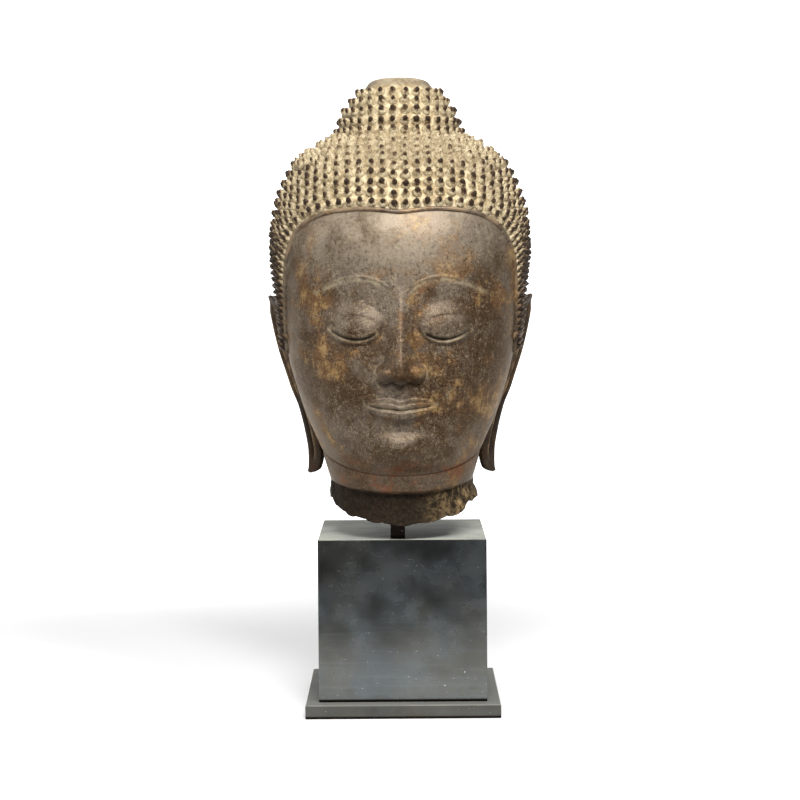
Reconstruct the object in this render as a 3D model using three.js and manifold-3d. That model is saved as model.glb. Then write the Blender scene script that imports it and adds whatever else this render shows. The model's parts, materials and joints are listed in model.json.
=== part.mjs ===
// A cast-bronze Buddha head with a cap of pointed curls and a broken neck, held up by a
// square bar over a blackened steel block on a base plate.
// Millimetres, +Z up, the face looks along -Y, and the origin is the middle of the
// plate's underside.
import * as THREE from "three";
import { mergeVertices } from "three/addons/utils/BufferGeometryUtils.js";
import Module from "manifold-3d";

const wasm = await Module();
wasm.setup();

// Driving dimensions of the stand.
const PLATE_SIDE = 162;
const PLATE_THICKNESS = 12;
const BLOCK_SIDE = 140;
const BLOCK_HEIGHT = 136;
const STAND_CHAMFER = 0.8;
const BAR_SIDE = 12;
const BAR_SETBACK = 4; // behind the block's front face
const BAR_CLEARANCE = 7.75; // between the bar and the inside of the neck's front wall
const BAR_OFFSET = -3.5; // from the middle, to the left as seen from the front
const BAR_REACH = 70; // how far the bar rises over the block, into the neck
const CONTACT_GAP = 0.3;

// Driving dimensions of the head.
const HEAD_HEIGHT = 374; // lowest point of the neck to the top of the cranial bump
const HEAD_LIFT = 12; // lowest point of the neck over the block
const NECK_WALL = 5;
const NECK_RECESS = 5.4; // how far the neck steps in under its fold, at the front
const CURL_PITCH = 10.7;
const CURL_HEIGHT = 5.6;
const CURL_GROUND = 1.2; // the hair stands this far proud of the forehead

// The carver's canon: the head is 22 finger-breadths high, and the face is 12 of them,
// in three equal parts. Levels and lengths of the head are in fingers over the neck's
// lowest point.
const FINGER = HEAD_HEIGHT / 22;
const CHIN = 3.1;
const NOSE_BASE = CHIN + 4;
const BROW = CHIN + 8;
const HAIRLINE = CHIN + 12;
const MOUTH = NOSE_BASE - 4 / 3;
const EYE_WIDTH = 2.24; // a fifth of the face's breadth
const CAP_FOOT = 21.5; // the smooth seat where the flame finial once stood
const TOP = 22;

// Horizontal sections of the bare head: level, half breadth, reach to the front, reach
// to the back, and roundness (2 is an ellipse).
const SECTIONS = [
  [0.0, 3.7, 5.0, 3.55, 2], // broken rim
  [1.0, 3.58, 4.95, 3.4, 2],
  [2.0, 3.56, 5.05, 3.3, 2], // fold
  [2.6, 3.62, 5.35, 3.3, 2], // crease
  [CHIN, 3.78, 5.75, 3.42, 2],
  [3.9, 4.12, 6.1, 3.75, 2.05],
  [5.0, 4.62, 6.26, 4.4, 2.15],
  [6.5, 5.15, 6.32, 5.1, 2.2],
  [8.2, 5.6, 6.3, 5.65, 2.3],
  [BROW, 5.94, 6.16, 6.35, 2.3],
  [13.6, 6.15, 6.06, 6.32, 2.3],
  [HAIRLINE, 6.05, 5.72, 6.0, 2.2],
  [16.5, 5.64, 5.1, 5.5, 2.1],
  [17.1, 5.38, 4.74, 5.2, 2.08],
  [17.6, 5.04, 4.36, 4.84, 2.05],
  [18.0, 4.62, 3.98, 4.5, 2],
  [18.5, 3.86, 3.4, 3.95, 2],
  [18.9, 3.08, 2.86, 3.5, 2],
  [19.3, 2.86, 2.56, 3.25, 2],
  [20.0, 2.66, 2.3, 3.0, 2],
  [20.6, 2.26, 1.95, 2.66, 2],
  [21.05, 1.92, 1.62, 2.36, 2],
  [CAP_FOOT, 1.64, 1.36, 2.06, 2], // the flame finial's seat
  [21.75, 1.42, 1.14, 1.84, 2],
  [TOP, 0.9, 0.62, 1.32, 2],
];

// The ridge of the nose: level, height over the face, half width.
const NOSE = [
  [7.0, 0.0, 0.85],
  [7.15, 0.5, 0.9],
  [7.45, 1.3, 0.92],
  [7.75, 1.4, 0.88],
  [8.3, 1.18, 0.8],
  [9.2, 0.84, 0.68],
  [10.2, 0.5, 0.58],
  [11.0, 0.24, 0.52],
  [11.8, 0.0, 0.5],
];

// The long ear, from its top corner to the tip of the lobe: level, outer edge's distance
// from the middle, its depth, chord, thickness, turn out from the head, and how much
// thicker the root is, where it grows out of the head.
const EAR = [
  [11.16, 6.78, 1.0, 0.6, 0.2, 0.3, 0.1],
  [10.7, 6.72, 1.4, 1.8, 0.34, 0.3, 0.5],
  [9.7, 6.55, 1.7, 2.4, 0.4, 0.28, 0.6],
  [8.4, 6.23, 1.5, 2.35, 0.4, 0.26, 0.6],
  [6.7, 5.66, 0.9, 1.7, 0.4, 0.35, 0.5],
  [5.6, 5.32, 0.45, 1.25, 0.42, 0.52, 0.3],
  [4.4, 5.02, 0.15, 1.08, 0.44, 0.66, 0],
  [3.3, 4.84, 0.0, 1.08, 0.44, 0.68, 0],
  [2.5, 4.82, 0.0, 0.86, 0.38, 0.68, 0],
  [2.2, 4.84, -0.05, 0.4, 0.2, 0.68, 0],
];

const mix = (a, b, t) => a + (b - a) * t;
const share = (from, to, value) => THREE.MathUtils.clamp((value - from) / (to - from), 0, 1);
const smooth = (from, to, value) => share(from, to, value) ** 2 * (3 - 2 * share(from, to, value));
const bell = (t) => Math.exp(-t * t);
const dome = (a, b) => Math.sqrt(Math.max(0, 1 - a * a - b * b));
const smoothMax = (a, b, soft) => (a + b + Math.hypot(a - b, soft)) / 2;

// A column of a table at any level: a smooth curve through its rows, without overshoot.
function column(table, index, level) {
  const rows = table[0][0] < table.at(-1)[0] ? table : [...table].reverse();
  const slope = (i) => (rows[i + 1][index] - rows[i][index]) / (rows[i + 1][0] - rows[i][0]);
  const tangent = (i) => {
    if (i === 0 || i === rows.length - 1) return slope(Math.max(0, i - 1));
    const [before, after] = [slope(i - 1), slope(i)];
    return before * after <= 0 ? 0 : (2 * before * after) / (before + after);
  };
  const z = THREE.MathUtils.clamp(level, rows[0][0], rows.at(-1)[0]);
  const i = Math.max(0, rows.findIndex((row) => z <= row[0]) - 1);
  const span = rows[i + 1][0] - rows[i][0];
  const t = (z - rows[i][0]) / span;
  return (
    rows[i][index] * (1 + 2 * t) * (1 - t) ** 2 +
    rows[i + 1][index] * t * t * (3 - 2 * t) +
    span * t * (1 - t) * (tangent(i) * (1 - t) - tangent(i + 1) * t)
  );
}

// All the columns of a table's row at a level.
const rowAt = (table, level) => table[0].slice(1).map((_, i) => column(table, i + 1, level));

// The neck's rim, fold and crease all dip towards the front.
function dip(phi) {
  const s = Math.abs(Math.sin(phi)) ** 2.5;
  return Math.cos(phi) > 0 ? s : 1.25 - 0.25 * s;
}
const ragged = (phi) => 0.09 - 0.05 * Math.cos(7 * phi) - 0.04 * Math.cos(17 * phi);
const rimLevel = (phi) => dip(phi) + ragged(phi);
const foldLevel = (phi) => 1.65 + 0.4 * dip(phi);
const creaseLevel = (phi) => 2.5 + 0.95 * dip(phi);

function nose(x, z) {
  const ridge = 1.08 - Math.hypot(x / column(NOSE, 2, z), 0.28);
  const wing = 0.78 * dome((x - 0.72) / 0.5, (z - 7.5) / 0.46);
  return smoothMax(Math.max(0, ridge) * column(NOSE, 1, z), wing, 0.12) - 0.06;
}

// The brow's arch, the hollow below it, the lid's curve and the slit of the lowered eye.
function eye(x, z) {
  const arch = BROW + 0.95 * Math.sin(Math.PI * share(0.2, 4.7, x) ** 0.75);
  const under = arch - z;
  const across = (x - EYE_WIDTH) / (EYE_WIDTH / 2);
  const hollow = smooth(0, 0.2, under) * smooth(2.7, 0.6, under) * smooth(4.6, 3.6, x);
  const lid = dome(across / 1.32, (z - 9.95) / 1.12);
  const slitTop = 9.62 + 0.1 * across - 0.34 * (1 - across * across);
  const slit = Math.max(0, 1 - across * across) * bell((z - slitTop + 0.1) / 0.13);
  return -0.3 * hollow + 0.4 * lid - 0.14 * slit;
}

function lips(x, z) {
  const across = x / 1.65;
  const full = Math.sqrt(Math.max(0, 1 - across * across));
  const line = MOUTH + 0.2 * across * across - 0.05 * bell(x / 0.35);
  const upper = (z - line) / (0.52 * full + 0.01);
  const lower = (line - z) / (0.64 * full + 0.01);
  const swell = upper > 0 ? smooth(1.15, 0.4, upper) : smooth(1.1, 0.45, lower);
  const groove = bell((z - line) / 0.09) * smooth(1.1, 0.7, Math.abs(across));
  return 0.4 * full * swell - 0.16 * groove;
}

// How far the face's features stand forward of the bare head, x from its middle.
function relief(x, z) {
  if (z > HAIRLINE || z < CHIN - 1) return 0;
  const chin = 0.42 * bell(x / 1.3) * bell((z - CHIN - 0.75) / 0.75);
  const cheek = 0.16 * bell((x - 2.9) / 1.5) * bell((z - 7.4) / 1.6);
  const fold = -0.18 * bell(x / 1.1) * bell((z - MOUTH + 0.95) / 0.3);
  return smoothMax(nose(x, z), eye(x, z) + lips(x, z) + chin + cheek + fold, 0.06);
}

// The neck below the chin: an incised crease, a rounded fold and a recess under it that
// fades towards the sides.
function neckRelief(phi, z) {
  const front = Math.max(0, Math.cos(phi)) ** 1.5;
  const t = (z - foldLevel(phi)) / (creaseLevel(phi) - foldLevel(phi));
  const crease = -0.07 * bell((z - creaseLevel(phi)) / 0.07);
  const fold = t > 0 && t < 1 ? 0.1 * Math.sin(Math.PI * t) : 0;
  const recess = (-NECK_RECESS / FINGER) * front * smooth(0.12, -0.12, z - foldLevel(phi));
  const flare = (0.14 + 0.12 * Math.sin(phi)) * smooth(0.7, 0, z - rimLevel(phi));
  return crease + fold + recess + flare;
}

// A point of the bare head: phi turns from the front (-Y) towards +X.
function bare(phi, level, grow = 0) {
  const [side, front, back, power] = rowAt(SECTIONS, level);
  const deep = (front + back) / 2;
  const [s, c] = [Math.sin(phi), Math.cos(phi)];
  const reach = (Math.abs(s / side) ** power + Math.abs(c / deep) ** power) ** (-1 / power) + grow;
  return new THREE.Vector3(reach * s, (back - front) / 2 - reach * c, level);
}

function skin(phi, level) {
  const underHair =
    -0.3 * smooth(HAIRLINE + 0.2, HAIRLINE + 1.4, level) * smooth(CAP_FOOT, CAP_FOOT - 0.7, level);
  const point = bare(phi, level, level < CHIN + 1 ? neckRelief(phi, level) : underHair);
  if (Math.cos(phi) > 0) point.y -= relief(Math.abs(point.x), level);
  return point;
}

// The hollow in the neck: straight walls up to a flat ceiling that rests on the bar.
const CEILING = (BAR_REACH - HEAD_LIFT + CONTACT_GAP) / FINGER;
function hollow(phi, level) {
  const inset = NECK_WALL + NECK_RECESS * Math.max(0, Math.cos(phi)) ** 1.5;
  return bare(phi, 1, -inset / FINGER).setZ(level);
}

// Rows of the head from the top down to the rim, as pairs of guide levels with the
// number of rows between them.
const OUTSIDE = [
  [() => TOP, () => CAP_FOOT, 2],
  [() => CAP_FOOT, () => HAIRLINE + 0.3, 4],
  [() => HAIRLINE + 0.3, () => BROW + 1.3, 4],
  [() => BROW + 1.3, () => MOUTH - 1, 25],
  [() => MOUTH - 1, creaseLevel, 5],
  [creaseLevel, foldLevel, 3],
  [foldLevel, rimLevel, 3],
];
const INSIDE = [rimLevel, (phi) => mix(rimLevel(phi), CEILING, 0.6), () => CEILING];
const COLUMNS = 40;

// A closed skin: a sphere whose rows and columns are carried to the places that place()
// gives, in fingers. Row 0 and the last row are its poles.
function moulded(columns, rows, place) {
  const geometry = new THREE.SphereGeometry(1, columns, rows);
  const position = geometry.getAttribute("position");
  for (let i = 0; i < position.count; i++) {
    const row = Math.floor(i / (columns + 1));
    const turn = (i % (columns + 1)) / columns;
    const p = place(row, turn === 1 ? 0 : turn).multiplyScalar(FINGER);
    position.setXYZ(i, p.x, p.y, p.z);
  }
  return geometry;
}

// Columns crowd together at the front, where the face is.
const crowded = (turn) => 2 * Math.PI * turn - 0.7 * Math.sin(2 * Math.PI * turn);

function headSkin() {
  const places = OUTSIDE.flatMap(([from, to, count]) =>
    Array.from({ length: count }, (_, i) => (phi) =>
      skin(phi, mix(from(phi), to(phi), i / count)),
    ),
  );
  places.push((phi) => skin(phi, rimLevel(phi)));
  places.push(...INSIDE.map((level) => (phi) => hollow(phi, level(phi))));
  const rows = places.length + 1;
  return moulded(COLUMNS, rows, (row, turn) => {
    if (row === 0) return new THREE.Vector3(0, 0.35, TOP);
    if (row === rows) return new THREE.Vector3(0, -0.7, CEILING);
    return places[row - 1](crowded(turn));
  });
}

// Rows of curls: levels at the side of the head that lie one pitch apart along its
// outline, from the seat of the finial down to the nape.
const NAPE = 4.7;
const PITCH = CURL_PITCH / FINGER;
function curlLevels() {
  const levels = [];
  const step = 0.02;
  for (let z = CAP_FOOT - 0.05, run = 0; z > NAPE; z -= step) {
    const spread = column(SECTIONS, 1, z - step) - column(SECTIONS, 1, z);
    if (run <= 0) {
      levels.push(z);
      run += PITCH;
    }
    run -= Math.hypot(step, spread);
  }
  return levels;
}

// Rows rise towards the forehead, where they follow the hairline.
function rowLevel(level, phi) {
  const rise = 0.7 * smooth(HAIRLINE + 3.7, HAIRLINE, level) * smooth(NAPE, BROW, level);
  return level + rise * Math.max(0, Math.cos(phi)) ** 2;
}

// A point on the hair, raised square to the head's surface.
function hairPoint(phi, level, height) {
  const d = 0.05;
  const at = (a, z) => bare(a, rowLevel(z, a));
  const along = at(phi + d, level).sub(at(phi - d, level));
  const up = at(phi, level + d).sub(at(phi, level - d));
  return at(phi, level).addScaledVector(along.cross(up).normalize(), height);
}

// Angles of the points that stand one pitch apart round a row, half a pitch off the
// front's middle.
function ringAngles(level) {
  const samples = 180;
  const arc = [0];
  const spot = (i) => bare((2 * Math.PI * i) / samples, rowLevel(level, (2 * Math.PI * i) / samples));
  for (let i = 0; i < samples; i++) arc.push(arc[i] + spot(i).distanceTo(spot(i + 1)));
  const count = Math.round(arc.at(-1) / PITCH);
  return Array.from({ length: count }, (_, k) => {
    const want = ((k + 0.5) / count) * arc.at(-1);
    const i = Math.max(0, arc.findIndex((a) => a >= want) - 1);
    return (2 * Math.PI * (i + (want - arc[i]) / (arc[i + 1] - arc[i]))) / samples;
  });
}

// Whether a place on the hair is covered by an ear, where no curl stands.
function underEar(p) {
  if (p.z > EAR[0][0] || p.z < SIDEBURN - 2) return false;
  const [, depth, chord] = rowAt(EAR, p.z);
  return p.y < depth && p.y > depth - chord - 0.1;
}

// The cap of hair: every curl is a pyramid over its own cell, and the cells tile the
// head ring by ring, stitched where two rings differ in number.
function hairBall() {
  const levels = curlLevels();
  const points = [];
  const faces = [];
  const add = (point) => points.push(...point.multiplyScalar(FINGER).toArray()) / 3 - 1;
  const ground = CURL_GROUND / FINGER;
  const rings = levels.map((level) => {
    const angles = ringAngles(level);
    return { level, angles, ids: angles.map((phi) => add(hairPoint(phi, level, ground))) };
  });
  // Index in the ring of the point that lies nearest to angle phi.
  const nearest = (ring, phi) => {
    const apart = ring.angles.map((a) => Math.abs(Math.atan2(Math.sin(a - phi), Math.cos(a - phi))));
    return apart.indexOf(Math.min(...apart));
  };
  for (let r = 0; r + 1 < rings.length; r++) {
    const [top, low] = [rings[r], rings[r + 1]];
    const [dense, other] = low.ids.length >= top.ids.length ? [low, top] : [top, low];
    const middle = (top.level + low.level) / 2;
    dense.ids.forEach((id, i) => {
      const j = (i + 1) % dense.ids.length;
      const turn = (dense.angles[j] - dense.angles[i] + 2 * Math.PI) % (2 * Math.PI);
      const phi = dense.angles[i] + turn / 2;
      const rise = underEar(hairPoint(phi, middle, ground)) ? 0 : CURL_HEIGHT / FINGER;
      const tip = add(hairPoint(phi, middle, ground + rise));
      const edge = [id, dense.ids[j]];
      const last = nearest(other, dense.angles[i]);
      for (let k = nearest(other, dense.angles[j]); ; k = (k - 1 + other.ids.length) % other.ids.length) {
        edge.push(other.ids[k]);
        if (k === last) break;
      }
      edge.forEach((a, n) => {
        const b = edge[(n + 1) % edge.length];
        faces.push(...(dense === low ? [a, b, tip] : [b, a, tip]));
      });
    });
  }
  const close = (ring, point, flip) => {
    const pole = add(point);
    ring.ids.forEach((id, i) => {
      const next = ring.ids[(i + 1) % ring.ids.length];
      faces.push(...(flip ? [next, id, pole] : [id, next, pole]));
    });
  };
  close(rings[0], new THREE.Vector3(0, 0.35, CAP_FOOT - 0.4), false);
  close(rings.at(-1), new THREE.Vector3(0, 0, rings.at(-1).level + 0.5), true);
  return new THREE.BufferGeometry()
    .setAttribute("position", new THREE.Float32BufferAttribute(points, 3))
    .setIndex(faces);
}

// The edge of the hair: a rounded arch over the forehead with a small dip in its middle,
// which runs down behind the temples and ends in a sideburn before each ear.
const TEMPLE = 9.5;
const SIDEBURN = 8.2;
const SIDEBURN_TURN = 1.36; // where the sideburn starts, from the front's middle
const ARCH_HALF = 5.62;
const hairArch = (x) =>
  TEMPLE + 5.75 * (1 - (Math.abs(x) / ARCH_HALF) ** 4.2) ** (1 / 4.2) - 0.17 * bell(x);

// The turn from the front's middle at which the bare head is x wide.
function turnAt(x, level) {
  const [side, front, back, power] = rowAt(SECTIONS, level);
  return Math.atan2(x, ((front + back) / 2) * (1 - (x / side) ** power) ** (1 / power));
}

// The opening of the hair over the face, cut square to the head's surface: a sheet from
// the head's axis out through the hair's edge, closed far in front.
function faceWindow() {
  const far = 20;
  const below = NAPE - 1;
  const half = [[SIDEBURN_TURN, below], [SIDEBURN_TURN, SIDEBURN]];
  const steps = 14;
  for (let i = 0; i <= steps; i++) {
    const x = ARCH_HALF * Math.cos((Math.PI * i) / (2 * steps));
    half.push([turnAt(x, hairArch(x)), hairArch(x)]);
  }
  const edge = [...half, ...half.slice(0, -1).reverse().map(([phi, z]) => [-phi, z])];
  const points = edge.flatMap(([phi, z]) => {
    const y = (column(SECTIONS, 3, z) - column(SECTIONS, 2, z)) / 2;
    return [0, y, z, far * Math.sin(phi), y - far * Math.cos(phi), z];
  });
  points.push(0, -1.5 * far, below);
  const front = 2 * edge.length;
  const faces = edge.slice(1).flatMap((_, k) => {
    const [axis, out, nextAxis, nextOut] = [2 * k, 2 * k + 1, 2 * k + 2, 2 * k + 3];
    return [axis, nextOut, out, axis, nextAxis, nextOut, out, nextOut, front];
  });
  faces.push(0, 1, front, 0, front, front - 1);
  return new THREE.BufferGeometry()
    .setAttribute("position", new THREE.Float32BufferAttribute(points, 3))
    .setIndex(faces)
    .scale(FINGER, FINGER, FINGER);
}

// Everything under the hair's lower edge: the sideburn's end, and the fall from behind
// the ear to the nape.
function underHair() {
  const nape = [[12, 5.1], [4.5, 5.2], [1.5, 6.2], [0, 7.2], [-0.1, SIDEBURN]];
  const profile = [[-12, 0], [12, 0], ...nape, [-12, SIDEBURN]];
  const side = new THREE.Shape(profile.map(([y, z]) => new THREE.Vector2(y, z)));
  const geometry = new THREE.ExtrudeGeometry(side, { depth: 16, bevelEnabled: false });
  return geometry
    .translate(0, 0, -8)
    .rotateY(Math.PI / 2)
    .rotateX(Math.PI / 2)
    .scale(FINGER, FINGER, FINGER);
}

// One ear as a closed skin. Its section is a leaf with a rolled rim at the back, a hollow
// and an inner ridge on its outer face, and a thicker root at the front.
function ear() {
  const [rows, columns] = [14, 12];
  return moulded(columns, rows, (row, turn) => {
    const level = mix(EAR[0][0], EAR.at(-1)[0], row / rows);
    const [outer, depth, chord, thick, out, root] = rowAt(EAR, level);
    const angle = 2 * Math.PI * turn;
    const pole = row === 0 || row === rows;
    const u = pole ? 0.5 : 0.5 - 0.5 * Math.cos(angle); // 0 at the rim, 1 at the root
    const half = (thick / 2) * Math.sqrt(Math.abs(Math.sin(angle)));
    const hollow = 1.1 * bell((u - 0.36) / 0.14);
    const rolled = 1 + 0.6 * bell((u - 0.12) / 0.1) - hollow + 0.5 * bell((u - 0.62) / 0.12);
    const w = pole ? 0 : Math.sin(angle) < 0 ? half * rolled : -half - root * u * Math.sqrt(1 - u);
    return new THREE.Vector3(
      outer - thick / 2 - chord * u * Math.sin(out) + w * Math.cos(out),
      depth - chord * u * Math.cos(out) - w * Math.sin(out),
      level,
    );
  });
}

// A closed geometry as a solid for joining and cutting.
function solid(geometry) {
  const shell = geometry.clone();
  for (const name of Object.keys(shell.attributes)) {
    if (name !== "position") shell.deleteAttribute(name);
  }
  const merged = mergeVertices(shell, 1e-3);
  return new wasm.Manifold(
    new wasm.Mesh({
      numProp: 3,
      vertProperties: merged.attributes.position.array,
      triVerts: new Uint32Array(merged.index.array),
    }),
  );
}

function geometryOf(made) {
  const mesh = made.getMesh();
  return new THREE.BufferGeometry()
    .setAttribute("position", new THREE.BufferAttribute(mesh.vertProperties, 3))
    .setIndex(new THREE.BufferAttribute(mesh.triVerts, 1));
}

function headGeometry() {
  const hair = solid(hairBall()).subtract(solid(faceWindow())).subtract(solid(underHair()));
  const right = ear();
  const left = right.clone().scale(-1, 1, 1);
  left.setIndex([...left.index.array].reverse());
  return geometryOf(solid(headSkin()).add(hair).add(solid(right)).add(solid(left)));
}

// A box with a small chamfer on every edge, centred in plan and standing on z = 0.
function chamferedBox(side, height, chamfer) {
  const half = side / 2 - chamfer;
  const plan = new THREE.Shape([
    new THREE.Vector2(-half, -half),
    new THREE.Vector2(half, -half),
    new THREE.Vector2(half, half),
    new THREE.Vector2(-half, half),
  ]);
  const geometry = new THREE.ExtrudeGeometry(plan, {
    depth: height - 2 * chamfer,
    bevelThickness: chamfer,
    bevelSize: chamfer,
    bevelSegments: 1,
  });
  return geometry.translate(0, 0, chamfer);
}

const BRONZE = new THREE.MeshStandardMaterial({ color: 0x6b5a46, roughness: 0.5, metalness: 0.7 });
const STEEL = new THREE.MeshStandardMaterial({ color: 0x4b5052, roughness: 0.4, metalness: 0.8 });
const DARK_STEEL = new THREE.MeshStandardMaterial({ color: 0x2e2725, roughness: 0.5, metalness: 0.7 });

const object = new THREE.Group();
function place(name, geometry, material, x, y, z) {
  const mesh = new THREE.Mesh(geometry, material);
  mesh.name = name;
  mesh.position.set(x, y, z);
  object.add(mesh);
}

const blockTop = PLATE_THICKNESS + BLOCK_HEIGHT;
const barFront = -BLOCK_SIDE / 2 + BAR_SETBACK;
const barDepth = barFront + BAR_SIDE / 2;
const headDepth = barFront - BAR_CLEARANCE - hollow(0, 1).y * FINGER;
place("base_plate", chamferedBox(PLATE_SIDE, PLATE_THICKNESS, STAND_CHAMFER), STEEL, 0, 0, 0);
place("stand_block", chamferedBox(BLOCK_SIDE, BLOCK_HEIGHT, STAND_CHAMFER), STEEL, 0, 0, PLATE_THICKNESS);
place("mounting_bar", chamferedBox(BAR_SIDE, BAR_REACH, 0.4), DARK_STEEL, BAR_OFFSET, barDepth, blockTop);
place("bronze_head", headGeometry(), BRONZE, 0, headDepth, blockTop + HEAD_LIFT);

export default object;
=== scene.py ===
# %% [markdown]
# # A bronze Buddha head on a steel block
#
# The real object is a hollow bronze casting with a brown skin, whose cap of pointed curls
# is filled with a pale, chalky deposit. It stands on a square bar over a block and a plate
# of blackened steel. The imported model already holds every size, so the first step loads it
# and reads the places of the four pieces from it. Lengths in Blender are metres, while the
# head's own forms are written in finger-breadths.

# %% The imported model
import json
import math

import bmesh
import bpy
import numpy as np
from mathutils import Matrix, Vector, kdtree, noise
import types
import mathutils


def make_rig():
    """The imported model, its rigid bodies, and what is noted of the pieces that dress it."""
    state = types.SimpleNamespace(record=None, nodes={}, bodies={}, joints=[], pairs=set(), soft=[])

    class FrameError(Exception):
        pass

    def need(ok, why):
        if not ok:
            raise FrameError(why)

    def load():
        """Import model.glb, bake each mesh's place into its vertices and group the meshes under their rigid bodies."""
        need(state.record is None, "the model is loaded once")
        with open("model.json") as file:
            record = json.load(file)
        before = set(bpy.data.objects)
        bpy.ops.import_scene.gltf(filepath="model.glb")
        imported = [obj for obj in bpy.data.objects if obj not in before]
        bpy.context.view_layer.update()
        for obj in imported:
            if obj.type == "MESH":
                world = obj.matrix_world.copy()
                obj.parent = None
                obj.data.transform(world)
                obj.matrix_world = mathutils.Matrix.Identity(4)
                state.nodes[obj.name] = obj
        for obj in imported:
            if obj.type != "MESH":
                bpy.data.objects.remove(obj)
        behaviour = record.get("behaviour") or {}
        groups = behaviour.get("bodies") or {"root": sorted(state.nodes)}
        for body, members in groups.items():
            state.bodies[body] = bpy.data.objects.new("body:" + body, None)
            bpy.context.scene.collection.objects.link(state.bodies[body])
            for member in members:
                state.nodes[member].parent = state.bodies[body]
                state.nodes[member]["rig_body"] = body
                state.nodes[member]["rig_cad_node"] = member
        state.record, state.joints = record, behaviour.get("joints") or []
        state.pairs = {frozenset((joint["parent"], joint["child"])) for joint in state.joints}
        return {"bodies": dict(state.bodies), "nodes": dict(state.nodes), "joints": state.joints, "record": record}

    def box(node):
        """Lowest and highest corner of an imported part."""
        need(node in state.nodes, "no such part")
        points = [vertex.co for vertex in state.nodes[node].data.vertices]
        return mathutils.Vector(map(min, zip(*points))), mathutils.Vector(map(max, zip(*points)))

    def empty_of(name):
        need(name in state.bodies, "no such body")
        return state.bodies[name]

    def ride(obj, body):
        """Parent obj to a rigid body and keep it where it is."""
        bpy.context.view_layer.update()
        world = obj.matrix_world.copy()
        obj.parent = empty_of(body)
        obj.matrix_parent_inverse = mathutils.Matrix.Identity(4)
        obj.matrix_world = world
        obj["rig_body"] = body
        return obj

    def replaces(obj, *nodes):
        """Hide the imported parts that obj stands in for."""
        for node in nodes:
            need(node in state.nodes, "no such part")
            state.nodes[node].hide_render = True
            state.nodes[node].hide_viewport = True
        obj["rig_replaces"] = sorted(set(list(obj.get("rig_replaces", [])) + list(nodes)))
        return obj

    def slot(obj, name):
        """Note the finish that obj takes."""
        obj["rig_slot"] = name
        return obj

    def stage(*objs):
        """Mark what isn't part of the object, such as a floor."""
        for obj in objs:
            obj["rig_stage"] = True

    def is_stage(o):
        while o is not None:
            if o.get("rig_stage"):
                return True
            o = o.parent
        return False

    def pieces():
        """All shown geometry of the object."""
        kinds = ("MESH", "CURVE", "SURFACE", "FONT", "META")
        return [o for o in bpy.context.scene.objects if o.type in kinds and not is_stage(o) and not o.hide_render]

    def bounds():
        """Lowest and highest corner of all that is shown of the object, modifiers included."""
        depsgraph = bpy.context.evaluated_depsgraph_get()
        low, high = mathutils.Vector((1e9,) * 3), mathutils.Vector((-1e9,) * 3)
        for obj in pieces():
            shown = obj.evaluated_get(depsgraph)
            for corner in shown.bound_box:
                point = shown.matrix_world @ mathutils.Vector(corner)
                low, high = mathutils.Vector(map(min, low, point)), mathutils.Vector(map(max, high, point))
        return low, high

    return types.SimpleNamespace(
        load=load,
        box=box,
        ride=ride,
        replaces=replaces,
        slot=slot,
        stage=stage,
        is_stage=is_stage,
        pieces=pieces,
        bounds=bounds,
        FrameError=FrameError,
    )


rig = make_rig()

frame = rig.load()
cad_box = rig.bounds()

head_low, head_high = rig.box("bronze_head")
block_low, block_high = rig.box("stand_block")
plate_low, plate_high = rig.box("base_plate")
bar_low, bar_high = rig.box("mounting_bar")

HEAD_FOOT = head_low[2]
FINGER = (head_high[2] - head_low[2]) / 22
print("one finger-breadth is", round(FINGER * 1000, 2), "mm")


def into_scene(name, data):
    """Make an object of some data and link it to the scene."""
    thing = bpy.data.objects.new(name, data)
    bpy.context.scene.collection.objects.link(thing)
    return thing


def mesh_of(shape, name):
    """Turn a finished bmesh into a mesh and free it."""
    mesh = bpy.data.meshes.new(name)
    shape.to_mesh(mesh)
    shape.free()
    return mesh


# %% [markdown]
# ## The camera
#
# The photograph was taken from nearly two metres with a long lens, a little above the
# chin, so the verticals hardly converge and the top of the block just shows. A camera in
# Blender looks along its own -Z, so it is first turned upright, then tipped down by the
# angle that puts the middle of the picture where the photograph has it.

# %% The camera
CAMERA_PLACE = (0.0025, -1.843, 0.3745)
CAMERA_TIP = math.radians(3.58)
CAMERA_TURN = math.radians(0.108)
CAMERA_ROLL = math.radians(-0.427)

lens = bpy.data.cameras.new("camera")
lens.lens = 97.0
lens.sensor_width = 36
camera = into_scene("camera", lens)
camera.matrix_world = (
    Matrix.Translation(CAMERA_PLACE)
    @ Matrix.Rotation(CAMERA_TURN, 4, "Z")
    @ Matrix.Rotation(math.pi / 2 - CAMERA_TIP, 4, "X")
    @ Matrix.Rotation(CAMERA_ROLL, 4, "Z")
)
bpy.context.scene.camera = camera
print("the camera stands", round(-CAMERA_PLACE[1], 2), "m in front of the stand")

# %% [markdown]
# ## Smooth curves through a few sizes
#
# Each free form is a short table of levels and sizes, and a cubic curve without overshoot
# runs through its rows. The tables are in finger-breadths over the neck's lowest point,
# as in the solid model, so that both have the same outline.


# %% Curves through a table
def curve_through(table, column):
    """A function that gives one column of a table at any level."""
    rows = np.array(sorted(table), dtype=float)
    level, value = rows[:, 0], rows[:, column]
    slope = np.diff(value) / np.diff(level)
    before, after = slope[:-1], slope[1:]
    same_way = before * after > 0
    total = np.where(same_way, before + after, 1)
    inner = np.where(same_way, 2 * before * after / total, 0)
    tangent = np.concatenate([slope[:1], inner, slope[-1:]])

    def at(wanted):
        z = np.clip(wanted, level[0], level[-1])
        i = np.clip(np.searchsorted(level, z) - 1, 0, len(level) - 2)
        span = level[i + 1] - level[i]
        t = (z - level[i]) / span
        ends = value[i] * (1 + 2 * t) * (1 - t) ** 2 + value[i + 1] * t * t * (3 - 2 * t)
        return ends + span * t * (1 - t) * (tangent[i] * (1 - t) - tangent[i + 1] * t)

    return at


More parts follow.
